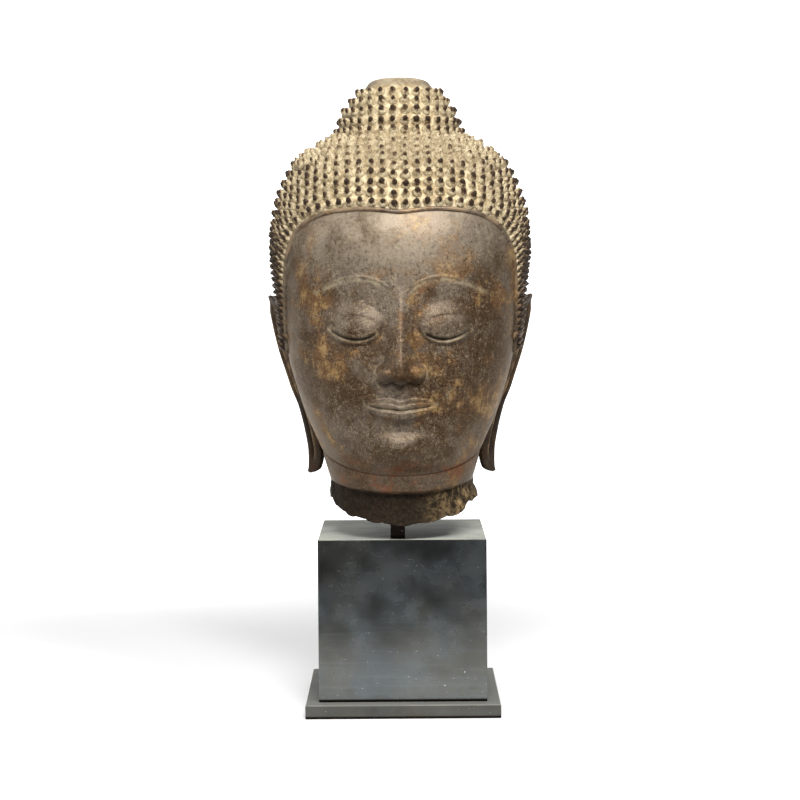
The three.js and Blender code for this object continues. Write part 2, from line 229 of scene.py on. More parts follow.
def share(start, end, value):
    return np.clip((value - start) / (end - start), 0, 1)


def smooth(start, end, value):
    t = share(start, end, value)
    return t * t * (3 - 2 * t)


def bell(value):
    return np.exp(-value * value)


def dome(across, along):
    return np.sqrt(np.maximum(0, 1 - across * across - along * along))


def smooth_max(a, b, soft):
    return (a + b + np.hypot(a - b, soft)) / 2


# %% [markdown]
# ## The head's canon
#
# Such heads follow a written canon in finger-breadths: twenty-two for the whole height,
# twelve for the face, which falls in three equal parts at the brow and at the base of the
# nose. The face here is a plain one worked out from that canon alone.

# %% Levels and sections of the bare head
CHIN = 3.1
NOSE_BASE = CHIN + 4
BROW = CHIN + 8
HAIRLINE = CHIN + 12
MOUTH = NOSE_BASE - 4 / 3
EYE_WIDTH = 2.24
CAP_FOOT = 21.5
TOP = 21.92

SECTIONS = [
    (0.0, 3.7, 5.0, 3.55, 2),
    (1.0, 3.58, 4.95, 3.4, 2),
    (2.0, 3.56, 5.05, 3.3, 2),
    (2.6, 3.62, 5.35, 3.3, 2),
    (CHIN, 3.78, 5.75, 3.42, 2),
    (3.9, 4.12, 6.1, 3.75, 2.05),
    (5.0, 4.62, 6.26, 4.4, 2.15),
    (6.5, 5.15, 6.32, 5.1, 2.2),
    (8.2, 5.6, 6.3, 5.65, 2.3),
    (BROW, 5.94, 6.16, 6.35, 2.3),
    (13.6, 6.15, 6.06, 6.32, 2.3),
    (HAIRLINE, 6.05, 5.72, 6.0, 2.2),
    (16.5, 5.64, 5.1, 5.5, 2.1),
    (17.1, 5.38, 4.74, 5.2, 2.08),
    (17.6, 5.04, 4.36, 4.84, 2.05),
    (18.0, 4.62, 3.98, 4.5, 2),
    (18.5, 3.86, 3.4, 3.95, 2),
    (18.9, 3.08, 2.86, 3.5, 2),
    (19.3, 2.86, 2.56, 3.25, 2),
    (20.0, 2.66, 2.3, 3.0, 2),
    (20.6, 2.26, 1.95, 2.66, 2),
    (21.05, 1.92, 1.62, 2.36, 2),
    (CAP_FOOT, 1.64, 1.36, 2.06, 2),
    (21.7, 1.5, 1.22, 1.92, 2),
    (21.83, 1.3, 1.02, 1.72, 2),
    (TOP, 0.95, 0.67, 1.37, 2),
]
side_at, front_at, back_at, roundness_at = [curve_through(SECTIONS, k) for k in (1, 2, 3, 4)]


def bare_head(phi, level, grow=0.0):
    """Places on the smooth head, in fingers; phi turns from the front towards +X."""
    side, front, back, power = side_at(level), front_at(level), back_at(level), roundness_at(level)
    deep = (front + back) / 2
    s, c = np.sin(phi), np.cos(phi)
    reach = (np.abs(s / side) ** power + np.abs(c / deep) ** power) ** (-1 / power) + grow
    return np.stack([reach * s, (back - front) / 2 - reach * c, level + 0 * phi], axis=-1)


# %% [markdown]
# ## The edge of the hair
#
# The hair starts over the forehead in a wide arch with a small dip in its middle, runs
# down behind the temples and ends in a short sideburn before each ear. Behind the ears
# its lower edge falls to the nape. The distance to that edge decides where the ground of
# the hair rises, where curls may stand, and where the smooth fillet lies.

# %% Distance to the hair's edge
TEMPLE = 9.5
SIDEBURN = 8.2
SIDEBURN_TURN = 1.36
ARCH_HALF = 5.62


def hair_arch(x):
    fullness = np.maximum(0, 1 - (np.abs(x) / ARCH_HALF) ** 4.2) ** (1 / 4.2)
    return TEMPLE + 5.75 * fullness - 0.17 * bell(x)


def turn_at(x, level):
    """The turn from the front's middle at which the bare head is x wide."""
    deep = (front_at(level) + back_at(level)) / 2
    power = roundness_at(level)
    return np.arctan2(x, deep * np.maximum(0, 1 - (x / side_at(level)) ** power) ** (1 / power))


def nape_line(y):
    return np.interp(y, [-0.1, 0.0, 1.5, 4.5, 12], [SIDEBURN, 7.2, 6.2, 5.2, 5.1])


arch_x = ARCH_HALF * np.sin(np.linspace(0, math.pi / 2, 200))
arch_level = hair_arch(arch_x)
nape_turn = np.linspace(SIDEBURN_TURN, math.pi, 200)
nape_level = np.full(200, SIDEBURN)
for _ in range(3):
    nape_level = nape_line(bare_head(nape_turn, nape_level)[:, 1])
edge_turn = np.concatenate([turn_at(arch_x, arch_level), nape_turn])
edge_level = np.concatenate([arch_level, nape_level])
edge_level[len(arch_x)] = SIDEBURN


def tree_of(spots):
    """A search tree of places."""
    tree = kdtree.KDTree(len(spots))
    for number, spot in enumerate(spots):
        tree.insert(spot, number)
    tree.balance()
    return tree


def nearest(spots, tree):
    """Distances from places to the nearest one in a tree."""
    return np.array([tree.find(spot)[2] for spot in spots])


both_sides = [bare_head(side * edge_turn, edge_level) for side in (1, -1)]
edge_tree = tree_of(np.concatenate(both_sides))


def hair_distance(phi, place):
    """How far places lie inside the hair, in fingers, negative outside it."""
    turn = np.abs(np.arctan2(np.sin(phi), np.cos(phi)))
    inside = place[:, 2] > np.interp(turn, edge_turn, edge_level)
    distance = nearest(place, edge_tree)
    return np.where(inside, distance, -distance)


print("the hair's edge runs down from level", round(float(hair_arch(0)), 2))

# %% [markdown]
# ## The face
#
# The features are heights over the smooth head, each a simple swelling or hollow with a
# soft border: the arch of the brow with the hollow below it, the lid over a lowered eye,
# the ridge of the nose with its wings, the lips, the chin and the cheeks. They are
# functions of place, so the mesh can be as fine as it needs to be.

# %% Features as heights over the bare head
NOSE = [
    (7.0, 0.0, 0.85),
    (7.15, 0.5, 0.9),
    (7.45, 1.3, 0.92),
    (7.75, 1.4, 0.88),
    (8.3, 1.18, 0.8),
    (9.2, 0.84, 0.68),
    (10.2, 0.5, 0.58),
    (11.0, 0.24, 0.52),
    (11.8, 0.0, 0.5),
]
nose_height, nose_half = curve_through(NOSE, 1), curve_through(NOSE, 2)


def brow_arch(x):
    return BROW + 0.95 * np.sin(math.pi * share(0.2, 4.7, x) ** 0.75)


def lid_edge(x):
    across = (x - EYE_WIDTH) / (EYE_WIDTH / 2)
    return 9.56 + 0.1 * across - 0.36 * np.maximum(0, 1 - across * across), across


def nose(x, z):
    ridge = 1.08 - np.hypot(x / nose_half(z), 0.28)
    wing = 0.78 * dome((x - 0.72) / 0.5, (z - 7.5) / 0.46)
    nostril = 0.3 * bell((x - 0.5) / 0.2) * bell((z - 7.1) / 0.14)
    return smooth_max(np.maximum(0, ridge) * nose_height(z), wing, 0.12) - 0.06 - nostril


def eye(x, z):
    under = brow_arch(x) - z
    near_brow = smooth(0.3, 0.9, x) * smooth(4.7, 3.9, x)
    hollow = smooth(0, 0.16, under) * smooth(2.7, 0.6, under) * smooth(4.6, 3.6, x)
    line = 0.05 * bell((under + 0.02) / 0.07) * near_brow
    edge, across = lid_edge(x)
    inside = np.maximum(0, 1 - across * across) ** 0.5
    lid = 0.4 * dome(across / 1.32, (z - 9.95) / 1.12)
    fold = -0.05 * bell((z - edge - 0.95 * inside - 0.08) / 0.06) * inside
    opening = smooth(-0.2 * inside - 0.04, -0.2 * inside + 0.03, z - edge)
    slit = -0.13 * smooth(0.02, -0.04, z - edge) * opening
    lash = 0.035 * bell((z - edge - 0.05) / 0.05) * inside
    lower = 0.04 * bell((z - edge + 0.3) / 0.09) * inside
    return -0.3 * hollow + line + lid + fold + slit * np.sign(inside) + lash + lower


def lips(x, z):
    across = x / 1.65
    full = np.sqrt(np.maximum(0, 1 - across * across))
    line = MOUTH + 0.2 * across * across - 0.05 * bell(x / 0.35)
    bow = 1 - 0.22 * bell(x / 0.26)
    upper = (z - line) / (0.52 * full * bow + 0.01)
    lower = (line - z) / (0.64 * full + 0.01)
    swell = np.where(upper > 0, smooth(1.12, 0.5, upper), smooth(1.08, 0.55, lower))
    rounding = 1 - 0.25 * np.clip(np.maximum(upper, lower), 0, 1) ** 2
    groove = bell((z - line) / 0.06) * smooth(1.12, 0.8, np.abs(across))
    corner = bell((x - 1.75) / 0.22) * bell((z - line - 0.02) / 0.22)
    return 0.4 * full * swell * rounding - 0.17 * groove - 0.1 * corner


def features(x, z):
    x = np.abs(x)
    chin = 0.42 * bell(x / 1.3) * bell((z - CHIN - 0.75) / 0.75)
    cheek = 0.16 * bell((x - 2.9) / 1.5) * bell((z - 7.4) / 1.6)
    fold = -0.18 * bell(x / 1.1) * bell((z - MOUTH + 0.95) / 0.3)
    ridges = 0.05 * bell((x - 0.3) / 0.14) - 0.05 * bell(x / 0.16)
    philtrum = ridges * smooth(6.2, 6.4, z) * smooth(7.1, 6.9, z)
    height = smooth_max(nose(x, z), eye(x, z) + lips(x, z) + chin + cheek + fold + philtrum, 0.05)
    return np.where((z > HAIRLINE) | (z < CHIN - 1), 0, height)


# %% [markdown]
# ## The neck
#
# Under the chin runs one fine incised crease, then a rounded fold. Below the fold the
# casting steps in and ends in a rough, broken rim that flares a little. All three lines
# dip towards the front.

# %% The neck's lines
NECK_WALL = 0.005 / FINGER
NECK_RECESS = 0.0054 / FINGER


def dip(phi):
    s = np.abs(np.sin(phi)) ** 2.5
    return np.where(np.cos(phi) > 0, s, 1.25 - 0.25 * s)


def rim_level(phi):
    teeth = 0.02 * np.cos(31 * phi + 1) + 0.012 * np.cos(53 * phi) + 0.01 * np.cos(83 * phi + 2)
    chip = 0.3 * bell((phi - 1.05) / 0.09) + 0.12 * bell((phi + 0.7) / 0.05)
    waves = 0.09 - 0.05 * np.cos(7 * phi) - 0.04 * np.cos(17 * phi)
    return dip(phi) + waves + np.maximum(0, teeth) + chip


def fold_level(phi):
    return 1.65 + 0.4 * dip(phi)


def crease_level(phi):
    return 2.5 + 0.95 * dip(phi)


def neck_relief(phi, z):
    front = np.maximum(0, np.cos(phi)) ** 1.5
    t = (z - fold_level(phi)) / (crease_level(phi) - fold_level(phi))
    crease = -0.06 * bell((z - crease_level(phi)) / 0.035)
    fold = np.where((t > 0) & (t < 1), 0.1 * np.sin(math.pi * np.clip(t, 0, 1)), 0)
    recess = -NECK_RECESS * front * smooth(0.06, -0.08, z - fold_level(phi))
    flare = (0.14 + 0.12 * np.sin(phi)) * smooth(0.7, 0, z - rim_level(phi))
    return crease + fold + recess + flare


# %% [markdown]
# ## The skin of the head
#
# The smooth parts of the casting are one skin: crown, ground of the hair, face, neck, the
# broken rim and the hollow above it. A sphere has the right shape of mesh for that, a net
# of rows and columns with a pole at each end, so `create_uvsphere` makes it and each row
# is carried to its level. Columns crowd together at the front and rows in the face,
# where the detail is.

# %% Rows of the skin
HAIR_GROUND = 0.0012 / FINGER
CEILING = (bar_high[2] + 0.0003 - HEAD_FOOT) / FINGER


def flat(level):
    return lambda phi: level + 0 * phi


BANDS = [
    (flat(TOP), flat(CAP_FOOT), 12),
    (flat(CAP_FOOT), flat(HAIRLINE + 0.3), 36),
    (flat(HAIRLINE + 0.3), flat(BROW + 1.3), 36),
    (flat(BROW + 1.3), flat(MOUTH - 1), 142),
    (flat(MOUTH - 1), crease_level, 34),
    (crease_level, fold_level, 20),
    (fold_level, rim_level, 30),
]
INSIDE = [0.0, 0.25, 0.6, 1.0]
COLUMNS = 248
OUTER_ROWS = sum(rows for _, _, rows in BANDS)
ROWS = 1 + OUTER_ROWS + 1 + len(INSIDE)


def crowded(turn):
    return 2 * math.pi * turn - 0.7 * np.sin(2 * math.pi * turn)


def rough(places, size, depth):
    """Uneven ground: a smooth random height at each place, in metres."""
    return np.array([noise.noise(Vector(p) / size) for p in places]) * depth


# %% The skin's places
def skin_places(row, turn):
    phi = crowded(turn)
    place = np.zeros((len(row), 3))
    start = 1
    for begin, end, rows in BANDS:
        here = (row >= start) & (row < start + rows)
        t = (row[here] - start) / rows
        level = begin(phi[here]) * (1 - t) + end(phi[here]) * t
        place[here] = outer_place(phi[here], level)
        start += rows
    rim = row == start
    place[rim] = outer_place(phi[rim], rim_level(phi[rim]))
    for k, rise in enumerate(INSIDE):
        here = row == start + 1 + k
        level = rim_level(phi[here]) * (1 - rise) + CEILING * rise
        inset = NECK_WALL + NECK_RECESS * np.maximum(0, np.cos(phi[here])) ** 1.5
        place[here] = bare_head(phi[here], 1.0 + 0 * level, -inset)
        place[here, 2] = level
    place[row == 0] = (0, 0.35, TOP)
    place[row == ROWS] = (0, -0.7, CEILING)
    return place, phi


def outer_place(phi, level):
    first = bare_head(phi, level)
    ground = HAIR_GROUND * smooth(-0.02, 0.06, hair_distance(phi, first))
    ground *= smooth(CAP_FOOT, CAP_FOOT - 0.15, level)
    neck = np.where(level < CHIN + 1, neck_relief(phi, level), 0)
    place = bare_head(phi, level, ground + neck)
    place[:, 1] -= np.where(np.cos(phi) > 0, features(place[:, 0], level), 0)
    return place


# %% The skin as a mesh
def metres(place):
    return place * FINGER + np.array([0, 0, HEAD_FOOT])


def sphere_net(columns, rows):
    """A sphere's mesh, with the row and the turn of each of its points."""
    shape = bmesh.new()
    bmesh.ops.create_uvsphere(shape, u_segments=columns, v_segments=rows, radius=1)
    points = np.array([v.co for v in shape.verts])
    row = np.rint(np.arccos(np.clip(points[:, 2], -1, 1)) / math.pi * rows)
    turn = np.rint(np.arctan2(points[:, 0], -points[:, 1]) / (2 * math.pi) * columns) % columns
    return shape, row, turn / columns


def finish_shape(shape, places, name):
    """Carry the points of a net to their places and make it an object."""
    for vertex, place in zip(shape.verts, places):
        vertex.co = place
    bmesh.ops.recalc_face_normals(shape, faces=shape.faces)
    mesh = mesh_of(shape, name)
    mesh.shade_smooth()
    return into_scene(name, mesh)


def note(piece, name, values):
    """Keep one number for each point of a piece, for its material to read."""
    layer = piece.data.attributes.new(name, "FLOAT", "POINT")
    layer.data.foreach_set("value", np.asarray(values, dtype=np.float32))


net, row, turn = sphere_net(COLUMNS, ROWS)
place, phi = skin_places(row, turn)
level = place[:, 2].copy()
outside = row <= OUTER_ROWS + 1
under_fold = outside * smooth(0.05, -0.1, level - fold_level(phi))
world = metres(place)
away = world * (1, 1, 0)
away /= np.linalg.norm(away, axis=1, keepdims=True) + 1e-9
uneven = rough(world, 0.03, 0.0004) + rough(world, 0.008, 0.0001)
broken = under_fold * (rough(world, 0.009, 0.0012) + rough(world, 0.0035, 0.0006))
world += away * ((uneven * outside + broken)[:, None]) * smooth(TOP, TOP - 0.3, level)[:, None]
skin = finish_shape(net, world, "head_skin")
print("skin:", len(skin.data.polygons), "faces")

# %% [markdown]
# What the materials need to know about the skin is kept on its points. First come the
# lines of the face, where the pale deposit gathers.

# %% Lines of the face
x, z = np.abs(place[:, 0]), level
in_face = (np.cos(phi) > 0) & outside & (z < HAIRLINE) & (z > CHIN - 1)
edge, across = lid_edge(x)
lid_line = bell((z - edge + 0.1) / 0.12) * (np.abs(across) < 1.1)
brow_line = bell((z - brow_arch(x) + 0.1) / 0.12) * smooth(0.3, 0.8, x) * smooth(4.6, 3.6, x)
lip_line = bell((z - MOUTH - 0.2 * (x / 1.65) ** 2) / 0.1) * (x < 1.8)
nose_line = bell((x - 1.2) / 0.12) * bell((z - 7.4) / 0.3)
creases = np.clip(lid_line + brow_line + 0.7 * lip_line + nose_line, 0, 1) * in_face
note(skin, "crease", creases)
note(skin, "lid_gap", bell((z - edge + 0.1) / 0.07) * (np.abs(across) < 0.97) * in_face)
note(skin, "brow_height", smooth(11.4, 13.8, level) * (0.35 + 0.65 * bell(x / 3.3)) * outside)
print("points in the face's lines:", int((creases > 0.5).sum()))

# %% [markdown]
# Then come the zones: ground of the hair and how pale it is, from its deposit and from
# painted shade between the curls on the sides; the neck with its crease and its break;
# and broad patches where the bronze is greyer or browner.

# %% Zones of the skin
hair_inside = hair_distance(phi, place)
crease_line = bell((level - crease_level(phi)) / 0.05)
neck_zone = smooth(CHIN + 0.6, CHIN - 0.6, level)
# Gold on the right of the broken rim: gold patches, and a painted glint of the light from the right.
right_rim_gold_and_glint = under_fold * smooth(0.1, 1.0, np.sin(phi)) * np.maximum(0, np.cos(phi) + 0.4)


def pale_share(places):
    """How much pale deposit the hair holds: much on top, little by the ears."""
    return smooth(9.5, 15.0, places[:, 2]) * 0.8 + 0.2


def side_gap_shade(places):
    """Less pale between the curls on the sides of the head: painted shade between the curls."""
    turned = np.abs(places[:, 0]) / side_at(places[:, 2])
    return 1 - 0.75 * smooth(0.62, 0.92, turned)


crown = smooth(CAP_FOOT - 0.1, CAP_FOOT + 0.1, level) * outside
# Greyer on the left jaw, partly bloom and partly a painted sheen; browner on the right cheek.
jaw_bloom_and_sheen = bell((place[:, 0] + 3.4) / 1.7) * bell((level - 4.8) / 1.7)
browner = 1.3 * bell((place[:, 0] - 3.6) / 1.9) * bell((level - 7.4) / 2.6)

note(skin, "hair", smooth(0.1, 0.3, hair_inside) * outside * (1 - 0.45 * crown))
ledge_gap = 1 - 0.45 * bell((level - 18.2) / 1.0) - 0.4 * bell((level - CAP_FOOT - 0.1) / 0.16)
# The ground's paleness, with painted shade between the curls on the sides.
note(skin, "pale", pale_share(place) * side_gap_shade(place) * ledge_gap)
note(skin, "neck", neck_zone * outside)
note(skin, "bloom_and_sheen", (jaw_bloom_and_sheen - browner) * outside)
note(skin, "incised", crease_line * outside)
note(skin, "broken", np.where(outside, under_fold, 1))
note(skin, "gold_and_glint", right_rim_gold_and_glint)
print("share of the skin under hair:", round(float((hair_inside > 0).mean()), 2))

# %% [markdown]
# ## The curls
#
# The cap is some fourteen hundred small spikes, each a cone wound like a snail shell,
# standing square to the head in even rows. One spike is modelled with `spin` and copied to
# every place. The rows lie one pitch apart down the side of the head. They rise a little
# towards the forehead to follow the hairline, and stand closer together down the temples
# and by the ears.

# %% Lines of curls
COLUMN_PITCH = 0.0094 / FINGER
ROW_PITCH = 0.0088 / FINGER


def angle_of(spots):
    """How far places are turned from the front, seen from above."""
    middle = (back_at(spots[:, 2]) - front_at(spots[:, 2])) / 2
    return np.arctan2(spots[:, 0], middle - spots[:, 1])


def square_to_head(spots):
    """Directions square to the bare head at places on it."""
    phi, level = angle_of(spots), spots[:, 2]
    along = bare_head(phi + 0.04, level) - bare_head(phi - 0.04, level)
    up = bare_head(phi, level + 0.04) - bare_head(phi, level - 0.04)
    square = np.cross(along, up)
    return square / np.linalg.norm(square, axis=1, keepdims=True)


def onto_head(spots):
    return bare_head(angle_of(spots), spots[:, 2])


def into_hair(line, distance):
    """Slide a line of places over the head, away from the face."""
    for _ in range(4):
        away = np.cross(square_to_head(line), np.gradient(line, axis=0))
        away *= np.sign(away[len(away) // 2, 2])
        away /= np.linalg.norm(away, axis=1, keepdims=True)
        line = onto_head(line + away * distance / 4)
    return line


def crowding(places):
    """Curls stand closer together down the temples and by the ears."""
    return 1 - 0.38 * smooth(16.0, 13.8, places[:, 2])


def evenly(line, pitch, crowded_sides=False):
    """Places one pitch apart along a line, half a pitch off its middle."""
    length = np.linalg.norm(np.diff(line, axis=0), axis=1)
    if crowded_sides:
        length = length / crowding(line[1:])
    run = np.concatenate([[0], np.cumsum(length)])
    count = int(run[-1] / pitch / 2 + 0.5)
    steps = run[-1] / 2 + (np.arange(-count, count) + 0.5) * pitch
    return np.stack([np.interp(steps, run, line[:, k]) for k in range(3)], axis=-1)


def ring(level):
    """Places round the head at one level, with a whole number of equal steps."""
    phi = np.linspace(-math.pi, math.pi, 721)
    line = bare_head(phi, level + 0 * phi)
    length = np.linalg.norm(np.diff(line, axis=0), axis=1).sum()
    return evenly(line, length / (2 * round(length / COLUMN_PITCH / 2)))


def stepped(profile, start, end):
    """Levels one row apart down a profile of the head."""
    fine = np.linspace(start, end, 400)
    run = np.concatenate([[0], np.cumsum(np.hypot(np.diff(fine), np.diff(profile(fine))))])
    count = round(run[-1] / ROW_PITCH)
    return np.interp((np.arange(count) + 0.5) * run[-1] / count, run, fine)


# %% [markdown]
# A row of curls also follows the edge of the hair, so that the face is framed evenly. The
# rows behind it give way to it, and curls that an ear covers are left out.

# %% The long ears, as sizes
EAR = [
    (11.16, 6.78, 1.0, 0.6, 0.2, 0.3, 0.1),
    (10.7, 6.72, 1.4, 1.8, 0.34, 0.3, 0.5),
    (9.7, 6.55, 1.7, 2.4, 0.4, 0.28, 0.6),
    (8.4, 6.23, 1.5, 2.35, 0.4, 0.26, 0.6),
    (6.7, 5.66, 0.9, 1.7, 0.4, 0.35, 0.5),
    (5.6, 5.32, 0.45, 1.25, 0.42, 0.52, 0.3),
    (4.4, 5.02, 0.15, 1.08, 0.44, 0.66, 0),
    (3.3, 4.84, 0.0, 1.08, 0.44, 0.68, 0),
    (2.5, 4.82, 0.0, 0.86, 0.38, 0.68, 0),
    (2.2, 4.84, -0.05, 0.4, 0.2, 0.68, 0),
]
ear_outer, ear_depth, ear_chord, ear_thick, ear_out, ear_root = [
    curve_through(EAR, k) for k in range(1, 7)
]

# %% Where every curl stands
BORDER = 0.4  # from the hair's edge to the first row of curls
CLEAR_OF_EDGE = 0.3
FRAMING_ROWS = 6
FINE_STEP = 0.06
LOWEST_ROW = 4.9
ROOM = 0.8 * ROW_PITCH  # what a curl needs for itself

front_turn = edge_turn[: len(arch_x) + 1]
front_level = edge_level[: len(arch_x) + 1]
edge_line = bare_head(
    np.concatenate([-front_turn[::-1], front_turn[1:]]),
    np.concatenate([front_level[::-1], front_level[1:]]),
)
fine_edge = evenly(edge_line, FINE_STEP)

line = into_hair(fine_edge, BORDER)
rows = [evenly(line, COLUMN_PITCH, True)]
for _ in range(FRAMING_ROWS - 1):
    line = into_hair(line, ROW_PITCH)
    line = evenly(line, FINE_STEP)
    rows.append(evenly(line, COLUMN_PITCH, True))
framing = np.concatenate(rows)
meeting_level = line[len(line) // 2, 2]

on_crown = stepped(front_at, CAP_FOOT - 0.2, meeting_level + 0.2)
on_sides = stepped(side_at, meeting_level, LOWEST_ROW)
rings = np.concatenate([ring(level) for level in (*on_crown, *on_sides)])
in_hair = hair_distance(angle_of(rings), rings) > CLEAR_OF_EDGE
clear = nearest(rings, tree_of(framing)) > ROOM
spots = np.concatenate([framing, rings[in_hair & clear]])
print("curls in framing rows:", len(framing), "and in rings:", len(spots) - len(framing))

# %% [markdown]
# Where the framing rows meet the rings a few gaps are left, as on any real casting. A
# finer net of trial places finds them, and each gap wide enough gets one more curl.

# %% Filling the gaps, and clearing the ears
GAP = 0.72 * ROW_PITCH
GAP_CURL_WIDTH = 0.85
NARROWING = 0.55  # how far curls narrow where they crowd
EAR_MARGIN = 0.1

trial = np.concatenate([ring(level) for level in np.arange(6, CAP_FOOT - 0.3, 0.13)])
in_hair = hair_distance(angle_of(trial), trial) > CLEAR_OF_EDGE
trial = trial[in_hair & (nearest(trial, tree_of(spots)) > GAP)]
extra = []
for spot in trial:
    if all(np.linalg.norm(spot - other) > ROOM for other in extra):
        extra.append(spot)
spots = np.concatenate([spots, extra])
widths = np.ones(len(spots))
widths[: len(framing)] = crowding(framing) ** NARROWING
widths[len(spots) - len(extra) :] = GAP_CURL_WIDTH

depth, chord = ear_depth(spots[:, 2]), ear_chord(spots[:, 2])
behind_ear = (spots[:, 2] < EAR[0][0] + EAR_MARGIN) & (spots[:, 2] > 5.0)
behind_ear &= (spots[:, 1] < depth + EAR_MARGIN) & (spots[:, 1] > depth - chord - EAR_MARGIN)
spots, widths = spots[~behind_ear], widths[~behind_ear]
squares = square_to_head(spots)
print("curls:", len(spots), "of which filling gaps:", len(extra))

# %% One curl
SIDES = 9
CURL_FOOT = 0.0045
CURL_TOP = 0.0063
PROFILE = [(1.0, -0.25), (0.92, 0.06), (0.77, 0.26), (0.62, 0.48), (0.47, 0.72), (0.27, 0.93)]
WINDINGS = 1.6
GROOVE = 0.13


def lowest(edge):
    return min(vertex.co.z for vertex in edge.verts)


def wound_spike(width):
    """A cone wound like a shell: a profile spun round the axis, then grooved."""
    shape = bmesh.new()
    points = [shape.verts.new((r * CURL_FOOT, 0, h * CURL_TOP)) for r, h in PROFILE]
    edges = [shape.edges.new(pair) for pair in zip(points, points[1:])]
    bmesh.ops.spin(
        shape,
        geom=points + edges,
        cent=(0, 0, 0),
        axis=(0, 0, 1),
        angle=2 * math.pi,
        steps=SIDES,
        use_merge=True,
    )
    top = [e for e in shape.edges if e.is_boundary and lowest(e) > 0.9 * CURL_TOP]
    lid = bmesh.ops.contextual_create(shape, geom=top)["faces"]
    tip = bmesh.ops.poke(shape, faces=lid)["verts"]
    tip[0].co.z = CURL_TOP
    for vertex in shape.verts:
        around = math.atan2(vertex.co.y, vertex.co.x)
        wind = 1 + GROOVE * math.sin(around - 2 * math.pi * WINDINGS * vertex.co.z / CURL_TOP)
        vertex.co.x *= wind * width
        vertex.co.y *= wind * width
    bmesh.ops.recalc_face_normals(shape, faces=shape.faces)
    return mesh_of(shape, "one_curl")


spikes = [wound_spike(width) for width in (1.0, 0.94, 1.06)]
print("one curl:", len(spikes[0].polygons), "faces")

# %% All curls in one piece
UPWARD_TILT = 0.28
LEDGE_DUST = 0.5
AIM_SPREAD = 0.05
FOOT_SPREAD = 0.015

chance = np.random.default_rng(7)
coat = bmesh.new()
heights, shades, pales = [], [], []
for spot, square, width in zip(spots, squares, widths):
    spike = spikes[chance.integers(len(spikes))].copy()
    aim = Vector(square) + Vector((0, 0, UPWARD_TILT)) + Vector(chance.normal(0, AIM_SPREAD, 3))
    lift = aim.to_track_quat("Z", "Y").to_matrix().to_4x4()
    own_turn = Matrix.Rotation(chance.uniform(0, 2 * math.pi), 4, "Z")
    foot = metres(spot + square * HAIR_GROUND + chance.normal(0, FOOT_SPREAD, 3))
    size = chance.uniform(0.92, 1.04)
    heights.append(np.array([v.co.z for v in spike.vertices]) / CURL_TOP)
    shades.append(np.full(len(spike.vertices), chance.uniform(0, 1)))
    settled = pale_share(spot[None])[0] + LEDGE_DUST * smooth(0.42, 0.85, square[2])
    pales.append(np.full(len(spike.vertices), settled))
    stature = Matrix.Diagonal((size * width, size * width, size, 1))
    spike.transform(Matrix.Translation(foot) @ lift @ own_turn @ stature)
    coat.from_mesh(spike)
    bpy.data.meshes.remove(spike)
curl_mesh = mesh_of(coat, "curls")
curl_mesh.shade_smooth()
curls = into_scene("curls", curl_mesh)
upward = np.zeros(3 * len(curl_mesh.vertices), dtype=np.float32)
curl_mesh.vertices.foreach_get("normal", upward)
note(curls, "tip", np.concatenate(heights))
note(curls, "own_shade", np.concatenate(shades))
note(curls, "upward", upward[2::3])
note(curls, "pale", np.concatenate(pales))
print("curls:", len(curl_mesh.polygons), "faces")

# %% [markdown]
# ## The fillet along the hair
#
# Between the curls and the forehead lies a smooth, low fillet. It is a curve with a round
# section, laid along the edge of the hair and half sunk in the head.

# %% The fillet
FILLET_INSET = 0.07
FILLET_HALF = 0.0019
FILLET_RISE = 0.03

spots = evenly(into_hair(fine_edge, FILLET_INSET), 0.12)
path = bpy.data.curves.new("hair_fillet", "CURVE")
path.dimensions = "3D"
path.bevel_depth = FILLET_HALF
path.bevel_resolution = 3
path.use_fill_caps = True
line = path.splines.new("POLY")
line.points.add(len(spots) - 1)
for point, spot, square in zip(line.points, spots, square_to_head(spots)):
    point.co = (*metres(spot + square * FILLET_RISE), 1)
helper = into_scene("hair_fillet", path)
depsgraph = bpy.context.evaluated_depsgraph_get()
mesh = bpy.data.meshes.new_from_object(helper.evaluated_get(depsgraph))
bpy.data.objects.remove(helper)
mesh.name = "hair_fillet"
mesh.shade_smooth()
hair_fillet = into_scene("hair_fillet", mesh)
print("fillet:", len(mesh.polygons), "faces")

# %% [markdown]
# ## The ears
#
# Each ear is a long bent leaf: a rolled rim at the back, a hollow, an inner ridge, and a
# thick root where it grows out of the head. Below the jaw it hangs free as a narrow lobe
# with one groove and a round end. It is again a sphere's net, with the poles at the top
# corner and at the lobe's tip, and the left ear is its mirror image.

# %% The ears
EAR_ROWS = 110
EAR_COLUMNS = 64


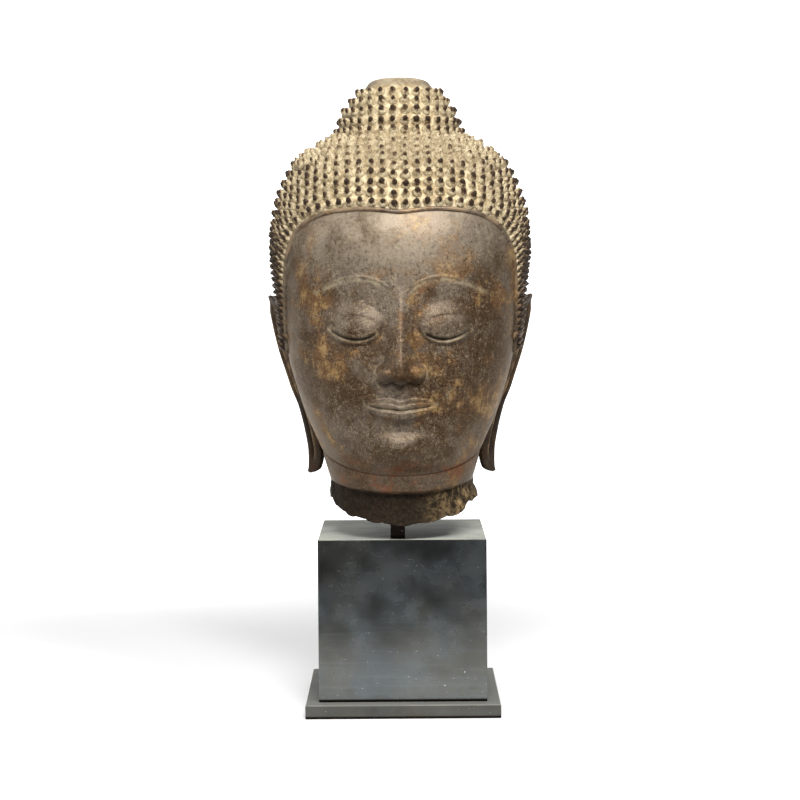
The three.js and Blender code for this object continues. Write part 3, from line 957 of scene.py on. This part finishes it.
def ear_places(row, turn):
    top, tip = EAR[0][0], EAR[-1][0]
    down = row / EAR_ROWS
    level = top + (tip - top) * down
    angle = 2 * math.pi * turn
    pole = (row == 0) | (row == EAR_ROWS)
    u = np.where(pole, 0.5, 0.5 - 0.5 * np.cos(angle))
    thick, chord, out = ear_thick(level), ear_chord(level), ear_out(level)
    half = thick / 2 * np.sqrt(np.abs(np.sin(angle)))
    shell = smooth(5.4, 6.6, level) * smooth(10.9, 10.2, level)
    lobe = smooth(5.9, 5.2, level) * smooth(2.7, 3.3, level)
    helix = 0.75 * bell((u - 0.13) / 0.09) * shell
    hollow = 1.3 * bell((u - 0.36) / 0.12) * shell
    ridge = 0.6 * bell((u - 0.6) / 0.08) * shell
    groove = 0.95 * bell((u - 0.42) / 0.1) * lobe
    rolled = 1 + helix - hollow + ridge - groove
    root = ear_root(level) * u * np.sqrt(np.maximum(0, 1 - u))
    w = np.where(np.sin(angle) < 0, half * rolled, -half - root)
    w = np.where(pole, 0, w)
    outer_face = np.sin(angle) < 0
    place = np.stack(
        [
            ear_outer(level) - thick / 2 - chord * u * np.sin(out) + w * np.cos(out),
            ear_depth(level) - chord * u * np.cos(out) - w * np.sin(out),
            level,
        ],
        axis=-1,
    )
    # The hollow and the lobe's groove are darkened: painted shade in them.
    dark = bell((u - 0.42) / 0.07) * lobe + 0.6 * bell((u - 0.36) / 0.08) * shell
    bright = bell((u - 0.6) / 0.1) * (shell + lobe) + 0.5 * bell((u - 0.13) / 0.08) * shell
    return place, dark * outer_face, bright * outer_face


ears = []
for name, side in (("ear_right", 1), ("ear_left", -1)):
    net, row, turn = sphere_net(EAR_COLUMNS, EAR_ROWS)
    place, dark, bright = ear_places(row, turn)
    place[:, 0] *= side
    piece = finish_shape(net, metres(place), name)
    note(piece, "crease", dark)
    note(piece, "ridge", bright)
    ears.append(piece)
    print(name, len(piece.data.polygons), "faces")

# %% [markdown]
# ## Helpers for materials
#
# Every finish is a short chain of nodes, and the helpers below only save typing.


# %% Node helpers
def fill(node, values):
    """Set inputs of a node by their names."""
    for name, value in values.items():
        node.inputs[name].default_value = value


class Finish:
    """A material with short ways to add its nodes."""

    def __init__(self, name, roughness=0.5, metallic=0.0, specular=0.5, tint=(1, 1, 1)):
        self.material = bpy.data.materials.new(name)
        self.material.use_nodes = True
        self.nodes = self.material.node_tree.nodes
        self.links = self.material.node_tree.links
        self.shader = self.nodes["Principled BSDF"]
        fill(self.shader, {"Roughness": roughness, "Metallic": metallic})
        fill(self.shader, {"Specular IOR Level": specular, "Specular Tint": (*tint, 1)})
        self.place = self.nodes.new("ShaderNodeTexCoord").outputs["Object"]

    def put(self, source, socket):
        self.links.new(source, socket)

    def noise(self, scale, detail=3.0, rough=0.55, stretch=(1, 1, 1)):
        node = self.nodes.new("ShaderNodeTexNoise")
        fill(node, {"Scale": scale, "Detail": detail, "Roughness": rough})
        if stretch == (1, 1, 1):
            self.put(self.place, node.inputs["Vector"])
        else:
            mapping = self.nodes.new("ShaderNodeMapping")
            fill(mapping, {"Scale": stretch})
            self.put(self.place, mapping.inputs["Vector"])
            self.put(mapping.outputs["Vector"], node.inputs["Vector"])
        return node.outputs["Fac"]

    def attribute(self, name):
        node = self.nodes.new("ShaderNodeAttribute")
        node.attribute_name = name
        return node.outputs["Fac"]

    def mask(self, source, low, high, to_low=0.0, to_high=1.0):
        node = self.nodes.new("ShaderNodeMapRange")
        node.interpolation_type = "SMOOTHSTEP"
        fill(node, {"From Min": low, "From Max": high, "To Min": to_low, "To Max": to_high})
        self.put(source, node.inputs["Value"])
        return node.outputs["Result"]

    def math(self, operation, a, b):
        node = self.nodes.new("ShaderNodeMath")
        node.operation = operation
        for socket, value in zip(node.inputs, (a, b)):
            if isinstance(value, (int, float)):
                socket.default_value = value
            else:
                self.put(value, socket)
        return node.outputs["Value"]

    def times(self, a, b):
        return self.math("MULTIPLY", a, b)

    def plus(self, a, b):
        return self.math("ADD", a, b)

    def minus(self, a, b):
        return self.math("SUBTRACT", a, b)

    def larger(self, a, b):
        return self.math("MAXIMUM", a, b)

    def mix(self, factor, a, b):
        node = self.nodes.new("ShaderNodeMix")
        node.data_type = "RGBA"
        for socket, value in zip((node.inputs[0], node.inputs[6], node.inputs[7]), (factor, a, b)):
            if isinstance(value, tuple):
                socket.default_value = (*value, 1)
            elif isinstance(value, (int, float)):
                socket.default_value = value
            else:
                self.put(value, socket)
        return node.outputs[2]

    def over(self, colour, source, low, high, top, most=1.0, where=None):
        """Lay a colour over another one where a texture passes from low to high."""
        share = self.mask(source, low, high, 0, most)
        if where is not None:
            share = self.times(where, share)
        return self.mix(share, colour, top)

    def axis(self, name):
        node = self.nodes.new("ShaderNodeSeparateXYZ")
        self.put(self.place, node.inputs[0])
        return node.outputs[name]

    def bump(self, height, distance, strength=1.0, under=None):
        node = self.nodes.new("ShaderNodeBump")
        fill(node, {"Distance": distance, "Strength": strength})
        self.put(height, node.inputs["Height"])
        if under is not None:
            self.put(under, node.inputs["Normal"])
        return node.outputs["Normal"]

    def end(self, colour, roughness=None, normal=None):
        self.put(colour, self.shader.inputs["Base Color"])
        if roughness is not None:
            self.put(roughness, self.shader.inputs["Roughness"])
        if normal is not None:
            self.put(normal, self.shader.inputs["Normal"])
        return self.material


# %% [markdown]
# ## The bronze
#
# Old bronze is several layers at once: a dark brown oxide, a greyer bloom where hands and
# wax have polished it, rusty and golden patches, and a pale buff dust in every crease and
# all over the ground of the hair. Some layers also hold painted light: a sheen on the left
# jaw, a highlight on the forehead, a glint at the right of the neck's break, and shade under
# the chin and the fold, between the curls and in the slits and hollows. Each layer is a
# colour laid over the last one through a mask of its own size.

# %% Colours of the bronze
UMBER = (0.052, 0.029, 0.015)
BLOOM = (0.116, 0.090, 0.068)
WARM = (0.120, 0.060, 0.025)
GOLD = (0.300, 0.185, 0.070)
RUST = (0.170, 0.055, 0.022)
BUFF = (0.500, 0.420, 0.272)
NEAR_BLACK = (0.010, 0.007, 0.005)
FLECK = (0.330, 0.260, 0.165)


def bronze_layers(finish):
    """The shared brown skin: its colour, and the grain that bump and gloss follow."""
    # The skin is greyer on the left jaw, partly a painted sheen, and browner on the right cheek.
    greyer = finish.times(finish.attribute("bloom_and_sheen"), 0.14)
    broad = finish.plus(finish.noise(17, 8, 0.66), greyer)
    patch = finish.minus(finish.noise(24, 8, 0.68), finish.times(greyer, 0.12))
    streak = finish.noise(34, 8, 0.7, (1, 1, 0.35))
    blotch = finish.noise(85, 8, 0.75)
    grain = finish.noise(380, 6, 0.78)
    fleck = finish.noise(820, 4, 0.75)
    worn_through = finish.mask(blotch, 0.40, 0.58, 0.3, 1.0)
    colour = finish.over(UMBER, broad, 0.42, 0.58, BLOOM)
    colour = finish.over(colour, patch, 0.50, 0.58, WARM, 0.85)
    colour = finish.over(colour, streak, 0.53, 0.62, UMBER, 0.7)
    colour = finish.over(colour, blotch, 0.55, 0.64, BLOOM, 0.6)
    rare = finish.times(finish.mask(patch, 0.54, 0.61), finish.mask(blotch, 0.46, 0.57))
    colour = finish.mix(finish.times(rare, 0.75), colour, GOLD)
    colour = finish.over(colour, grain, 0.52, 0.64, FLECK, 0.5, worn_through)
    colour = finish.over(colour, fleck, 0.54, 0.66, FLECK, 0.6, worn_through)
    colour = finish.over(colour, grain, 0.47, 0.35, NEAR_BLACK, 0.7)
    colour = finish.over(colour, fleck, 0.46, 0.34, NEAR_BLACK, 0.65)
    return colour, grain


# %% The skin's finish
POLISHED_AND_HIGHLIGHT = (0.265, 0.218, 0.160)
INCISED = (0.060, 0.022, 0.010)
RAW_DARK_AND_SHADE = (0.004, 0.003, 0.002)
RAW_LIGHT_AND_SHADE = (0.017, 0.011, 0.007)
RIM_GOLD_AND_GLINT = (0.350, 0.240, 0.115)
GROUND_SAND_AND_SHADE = (0.300, 0.225, 0.125)
GROUND_DARK = (0.045, 0.028, 0.017)
GROUND_BROWN = (0.120, 0.085, 0.055)

bronze = Finish("bronze_skin", specular=0.2, tint=(1.0, 0.86, 0.66))
colour, grain = bronze_layers(bronze)
soft_patch = bronze.noise(38, 6, 0.65)
# The upper face is lighter towards the middle of the forehead: polished bronze, and a painted highlight.
rubbed = bronze.mask(soft_patch, 0.38, 0.58, 0.3, 0.85)
polish_and_highlight = bronze.times(bronze.attribute("brow_height"), rubbed)
polish_and_highlight = bronze.times(polish_and_highlight, bronze.mask(grain, 0.34, 0.52, 0.45, 1.0))
colour = bronze.mix(polish_and_highlight, colour, POLISHED_AND_HIGHLIGHT)
neck = bronze.attribute("neck")
# Under the chin the neck is darkened with umber: painted shade under the chin.
colour = bronze.mix(bronze.times(neck, 0.4), colour, UMBER)
colour = bronze.over(colour, soft_patch, 0.50, 0.6, RUST, 0.5, neck)
colour = bronze.mix(bronze.times(bronze.attribute("incised"), 0.6), colour, INCISED)
dust_places = bronze.mask(bronze.noise(160, 6, 0.7), 0.38, 0.6, 0.05, 0.45)
dust = bronze.times(bronze.attribute("crease"), dust_places)
colour = bronze.mix(dust, colour, BUFF)
# Under the fold and inside the neck the bronze is near black: rough broken metal, and under the overhanging fold also
# painted shadow.
broken = bronze.attribute("broken")
raw_and_shade = bronze.over(RAW_DARK_AND_SHADE, grain, 0.42, 0.62, RAW_LIGHT_AND_SHADE)
colour = bronze.mix(bronze.times(broken, 0.97), colour, raw_and_shade)
# Gold on the right of the broken rim: gold patches, and a painted glint of the light from the right.
gold_and_glint = bronze.attribute("gold_and_glint")
colour = bronze.over(colour, bronze.noise(150, 8, 0.8), 0.42, 0.68, RIM_GOLD_AND_GLINT, 0.8, gold_and_glint)
hair_ground = bronze.attribute("hair")
# Darker sand patches on the ground between the curls: the deposit's own tone, and painted shade between the curls.
chalky = bronze.over(BUFF, bronze.noise(200, 5), 0.40, 0.60, GROUND_SAND_AND_SHADE)
brown_ground = bronze.over(GROUND_DARK, grain, 0.4, 0.6, GROUND_BROWN)
ground = bronze.mix(bronze.attribute("pale"), brown_ground, chalky)
colour = bronze.mix(hair_ground, colour, ground)
# The slit between the lids is darkened to near black: painted shade in the slit.
colour = bronze.mix(bronze.attribute("lid_gap"), colour, NEAR_BLACK)
roughness = bronze.mask(grain, 0.35, 0.65, 0.38, 0.60)
roughness = bronze.larger(roughness, bronze.times(hair_ground, 0.85))
roughness = bronze.larger(roughness, bronze.times(broken, 0.9))
covered = bronze.larger(hair_ground, broken)
metal = bronze.mask(covered, 0.0, 1.0, 0.4, 0.0)
bronze.put(metal, bronze.shader.inputs["Metallic"])
normal = bronze.bump(bronze.noise(90, 7, 0.72), 0.0012, 0.35)
normal = bronze.bump(grain, 0.0006, 0.5, normal)
skin_finish = bronze.end(colour, roughness, normal)

# %% [markdown]
# The curls share the layers of the ground between them. A point's height on its curl, the
# way it faces and its place on the head decide between chalk and bronze: dust settles on
# what faces up and in the hollows, the undersides are darkened as painted shade, and the
# tips are rubbed dark.

# %% The curls' finish
CHALK_SHADE = (0.345, 0.272, 0.160)
DARK_GRIT = (0.130, 0.090, 0.050)
WHITE_GRIT = (0.640, 0.560, 0.400)
SIDE_DUST = (0.125, 0.084, 0.048)
CURL_BROWN = (0.130, 0.082, 0.045)
CURL_DARK = (0.030, 0.019, 0.012)
RUBBED_TIP = (0.200, 0.165, 0.135)

spike = Finish("bronze_curls", metallic=0.1, specular=0.12)
grain = spike.noise(420, 5, 0.7)
pale = spike.attribute("pale")
reach = spike.plus(spike.attribute("tip"), spike.times(spike.minus(grain, 0.5), 1.1))
reach = spike.plus(reach, spike.times(spike.minus(spike.attribute("own_shade"), 0.5), 0.2))
# Points that face down get darker and points that face up paler: painted shade on the undersides, and dust on the
# tops.
reach = spike.minus(reach, spike.times(spike.attribute("upward"), 0.35))
reach = spike.minus(reach, spike.times(spike.minus(pale, 0.9), 0.5))
speck = spike.noise(760, 5, 0.8)
chalky = spike.over(BUFF, spike.noise(200, 5), 0.40, 0.60, CHALK_SHADE)
chalky = spike.over(chalky, speck, 0.52, 0.40, DARK_GRIT, 0.7)
chalky = spike.over(chalky, speck, 0.52, 0.62, WHITE_GRIT, 0.5)
chalky = spike.over(SIDE_DUST, pale, 0.2, 0.6, chalky)
colour = spike.over(chalky, reach, 0.32, 0.52, CURL_BROWN)
colour = spike.over(colour, reach, 0.48, 0.68, CURL_DARK)
colour = spike.over(colour, reach, 1.0, 1.3, RUBBED_TIP, 0.7)
roughness = spike.mask(reach, 0.4, 0.8, 0.85, 0.5)
curl_finish = spike.end(colour, roughness, spike.bump(grain, 0.0007, 0.9))

# %% [markdown]
# The fillet is brown like the face, but worn to ochre along its crown. The ears are the
# darkest part of the head, with a little gold left on their ridges.

# %% The finishes of fillet and ears
WORN_OCHRE = (0.270, 0.190, 0.115)
EAR_BROWN = (0.020, 0.013, 0.009)
EAR_GOLD = (0.300, 0.195, 0.100)

band = Finish("bronze_fillet", metallic=0.4, specular=0.2)
colour, grain = bronze_layers(band)
temple_height = HEAD_FOOT + (BROW + 0.5) * FINGER
above_temple = band.mask(band.axis("Z"), temple_height - FINGER, temple_height + FINGER, 0.1, 1.0)
rubbed = band.mask(band.noise(50, 5, 0.65), 0.44, 0.60, 0.1, 0.8)
colour = band.mix(band.times(above_temple, rubbed), colour, WORN_OCHRE)
roughness = band.mask(grain, 0.35, 0.65, 0.4, 0.6)
fillet_finish = band.end(colour, roughness, band.bump(grain, 0.0004, 0.4))

leaf = Finish("bronze_ears", metallic=0.2, specular=0.08)
colour, grain = bronze_layers(leaf)
colour = leaf.mix(0.8, colour, EAR_BROWN)
gilt = leaf.mask(leaf.noise(60, 6, 0.7), 0.42, 0.58, 0.1, 0.75)
colour = leaf.mix(leaf.times(leaf.attribute("ridge"), gilt), colour, EAR_GOLD)
# Painted shade darkens the hollow and the lobe's groove.
colour = leaf.mix(leaf.times(leaf.attribute("crease"), 0.9), colour, NEAR_BLACK)
roughness = leaf.mask(grain, 0.35, 0.65, 0.5, 0.66)
ear_finish = leaf.end(colour, roughness, leaf.bump(grain, 0.0004, 0.35))

# %% [markdown]
# ## The steel stand
#
# Block, plate and bar are mild steel, blackened with acid and waxed. The finish is nearly
# a mirror for broad shapes, clouded blue and brown, with a faint grain and a few fine
# scratches.

# %% The steel's finish
SCRATCH = (0.42, 0.42, 0.40)
SPECK = (0.62, 0.62, 0.60)
BRIGHT_EDGE = (0.42, 0.41, 0.36)


def blackened_steel(name, blue, brown, base_roughness, dust, low, high):
    """Clouded dark steel, with dust on its top and a painted shadow along its foot."""
    steel = Finish(name)
    smudge = steel.noise(34, 4, 0.5)
    brushed = steel.noise(420, 4, 0.65, (0.03, 1, 1))
    scratch = steel.noise(38, 2, 0.5, (1, 1, 22))
    lighter = tuple(1.5 * part for part in blue)
    darker = tuple(0.6 * part for part in brown)
    colour = steel.over(blue, steel.noise(13, 7, 0.65), 0.40, 0.60, brown)
    colour = steel.over(colour, smudge, 0.45, 0.75, lighter, 0.45)
    colour = steel.over(colour, smudge, 0.55, 0.25, darker, 0.75)
    colour = steel.over(colour, brushed, 0.48, 0.66, lighter, 0.2)
    clean = steel.mask(smudge, 0.52, 0.60, 0, 0.55)
    colour = steel.over(colour, scratch, 0.71, 0.74, SCRATCH, 1.0, clean)
    colour = steel.over(colour, steel.noise(520, 2, 0.5), 0.725, 0.75, SPECK, 0.8)
    roughness = steel.mask(smudge, 0.3, 0.7, base_roughness - 0.04, base_roughness + 0.05)
    height = steel.axis("Z")
    # A lighter band just under the top edge: worn metal, and a painted highlight on the edge.
    colour = steel.over(colour, height, high - 0.0014, high - 0.0007, BRIGHT_EDGE, 0.6)
    # The lowest few millimetres are darkened to near black: painted shadow along the foot.
    foot = steel.mask(height, low + 0.0016, low + 0.0030, 1, 0)
    colour = steel.mix(foot, colour, NEAR_BLACK)
    dull = steel.mask(height, high - 0.0006, high - 0.0002)
    dusty = steel.mix(steel.mask(smudge, 0.42, 0.62, 0.15, 0.5), dust, blue)
    colour = steel.mix(dull, colour, dusty)
    roughness = steel.larger(roughness, steel.times(dull, 0.8))
    steel.put(steel.mask(dull, 0, 1, 1, 0.1), steel.shader.inputs["Metallic"])
    normal = steel.bump(brushed, 0.00004, 0.25)
    return steel.end(colour, roughness, normal)


block_finish = blackened_steel(
    "blackened_steel",
    blue=(0.135, 0.152, 0.157),
    brown=(0.150, 0.150, 0.136),
    base_roughness=0.25,
    dust=(0.345, 0.350, 0.295),
    low=block_low[2],
    high=block_high[2],
)
plate_finish = blackened_steel(
    "darker_steel",
    blue=(0.092, 0.094, 0.088),
    brown=(0.105, 0.098, 0.084),
    base_roughness=0.30,
    dust=(0.125, 0.123, 0.108),
    low=plate_low[2],
    high=plate_high[2],
)
bar_finish = blackened_steel(
    "dark_bar",
    blue=(0.022, 0.017, 0.015),
    brown=(0.034, 0.025, 0.02),
    base_roughness=0.42,
    dust=(0.02, 0.015, 0.01),
    low=bar_low[2],
    high=bar_high[2],
)

# %% Dressing the pieces
skin.data.materials.append(skin_finish)
curls.data.materials.append(curl_finish)
hair_fillet.data.materials.append(fillet_finish)
for piece in ears:
    piece.data.materials.append(ear_finish)
for piece in (skin, curls, hair_fillet, *ears):
    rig.ride(piece, "root")
    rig.slot(piece, "bronze")
    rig.replaces(piece, "bronze_head")
steels = (("stand_block", block_finish), ("base_plate", plate_finish), ("mounting_bar", bar_finish))
for node, finish in steels:
    solid = frame["nodes"][node]
    solid.data.materials.clear()
    solid.data.materials.append(finish)

# %% [markdown]
# ## Floor and light
#
# The photograph was made on white paper. A large soft light hangs in front and above, so
# the forehead shines and the sides of the face fall off into brown. A second one from the
# upper right throws the soft shadow on the floor to the left, and a weak third one from
# the left keeps the far side from going black. The paper ends in front of the stand, where
# the picture doesn't see it: the block mirrors white paper in its lower part and the dark
# room above it, which is why it darkens towards its top.

# %% The paper on the floor and behind
PAPER_FRONT = -0.42
PAPER_BACK = 2.4
PAPER_HALF = 2.2
PAPER_HEIGHT = 2.6
PAPER_BEND = 0.8


def lies_at_back(edge):
    return all(v.co.y > PAPER_BACK - 0.01 and v.co.z < 0.01 for v in edge.verts)


paper_shape = bmesh.new()
corners = [(-PAPER_HALF, PAPER_FRONT), (PAPER_HALF, PAPER_FRONT)]
corners += [(PAPER_HALF, PAPER_BACK), (-PAPER_HALF, PAPER_BACK)]
points = [paper_shape.verts.new((x, y, 0)) for x, y in corners]
bmesh.ops.contextual_create(paper_shape, geom=points)
back_edge = [edge for edge in paper_shape.edges if lies_at_back(edge)]
risen = bmesh.ops.extrude_edge_only(paper_shape, edges=back_edge)["geom"]
risen = [part for part in risen if isinstance(part, bmesh.types.BMVert)]
bmesh.ops.translate(paper_shape, verts=risen, vec=(0, 0, PAPER_HEIGHT))
bend = [edge for edge in paper_shape.edges if lies_at_back(edge)]
bmesh.ops.bevel(
    paper_shape, geom=bend, offset=PAPER_BEND, segments=16, profile=0.5, affect="EDGES", material=-1
)
paper_mesh = mesh_of(paper_shape, "paper")
paper_mesh.shade_smooth()
paper = into_scene("paper", paper_mesh)
white = Finish("white_paper", roughness=0.9)
far_off = white.mask(white.axis("Y"), 0.3, 1.3, 0.2, 1.2)
white.put(far_off, white.shader.inputs["Emission Strength"])
fill(white.shader, {"Base Color": (0.66, 0.66, 0.66, 1), "Emission Color": (1, 1, 1, 1)})
paper_mesh.materials.append(white.material)
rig.stage(paper)


# %% The lights
def soft_light(name, place, aim, size, power):
    lamp = bpy.data.lights.new(name, "AREA")
    lamp.shape = "RECTANGLE"
    lamp.size, lamp.size_y = size
    lamp.energy = power
    turned = (Vector(aim) - Vector(place)).to_track_quat("-Z", "Y").to_matrix()
    into_scene(name, lamp).matrix_world = Matrix.Translation(place) @ turned.to_4x4()
    print("light:", name, power, "W")


soft_light("front", place=(0.05, -1.35, 1.4), aim=(0, 0, 0.4), size=(0.7, 0.5), power=42)
soft_light("right", place=(0.75, -1.0, 1.5), aim=(0, 0, 0.2), size=(0.4, 0.4), power=20)
soft_light("left", place=(-1.4, -0.5, 0.9), aim=(-0.2, 0, 0.15), size=(0.8, 0.8), power=11)

room = bpy.data.worlds.new("studio")
bpy.context.scene.world = room
room.use_nodes = True
background = room.node_tree.nodes["Background"]
fill(background, {"Color": (1, 1, 1, 1), "Strength": 0.12})
bpy.context.scene.view_settings.view_transform = "Standard"

# %% Sizes, and the end
with open("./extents.json", "w") as file:
    boxes = {"cad": cad_box, "visual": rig.bounds()}
    json.dump({name: [list(corner) for corner in box] for name, box in boxes.items()}, file)
print(open("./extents.json").read())
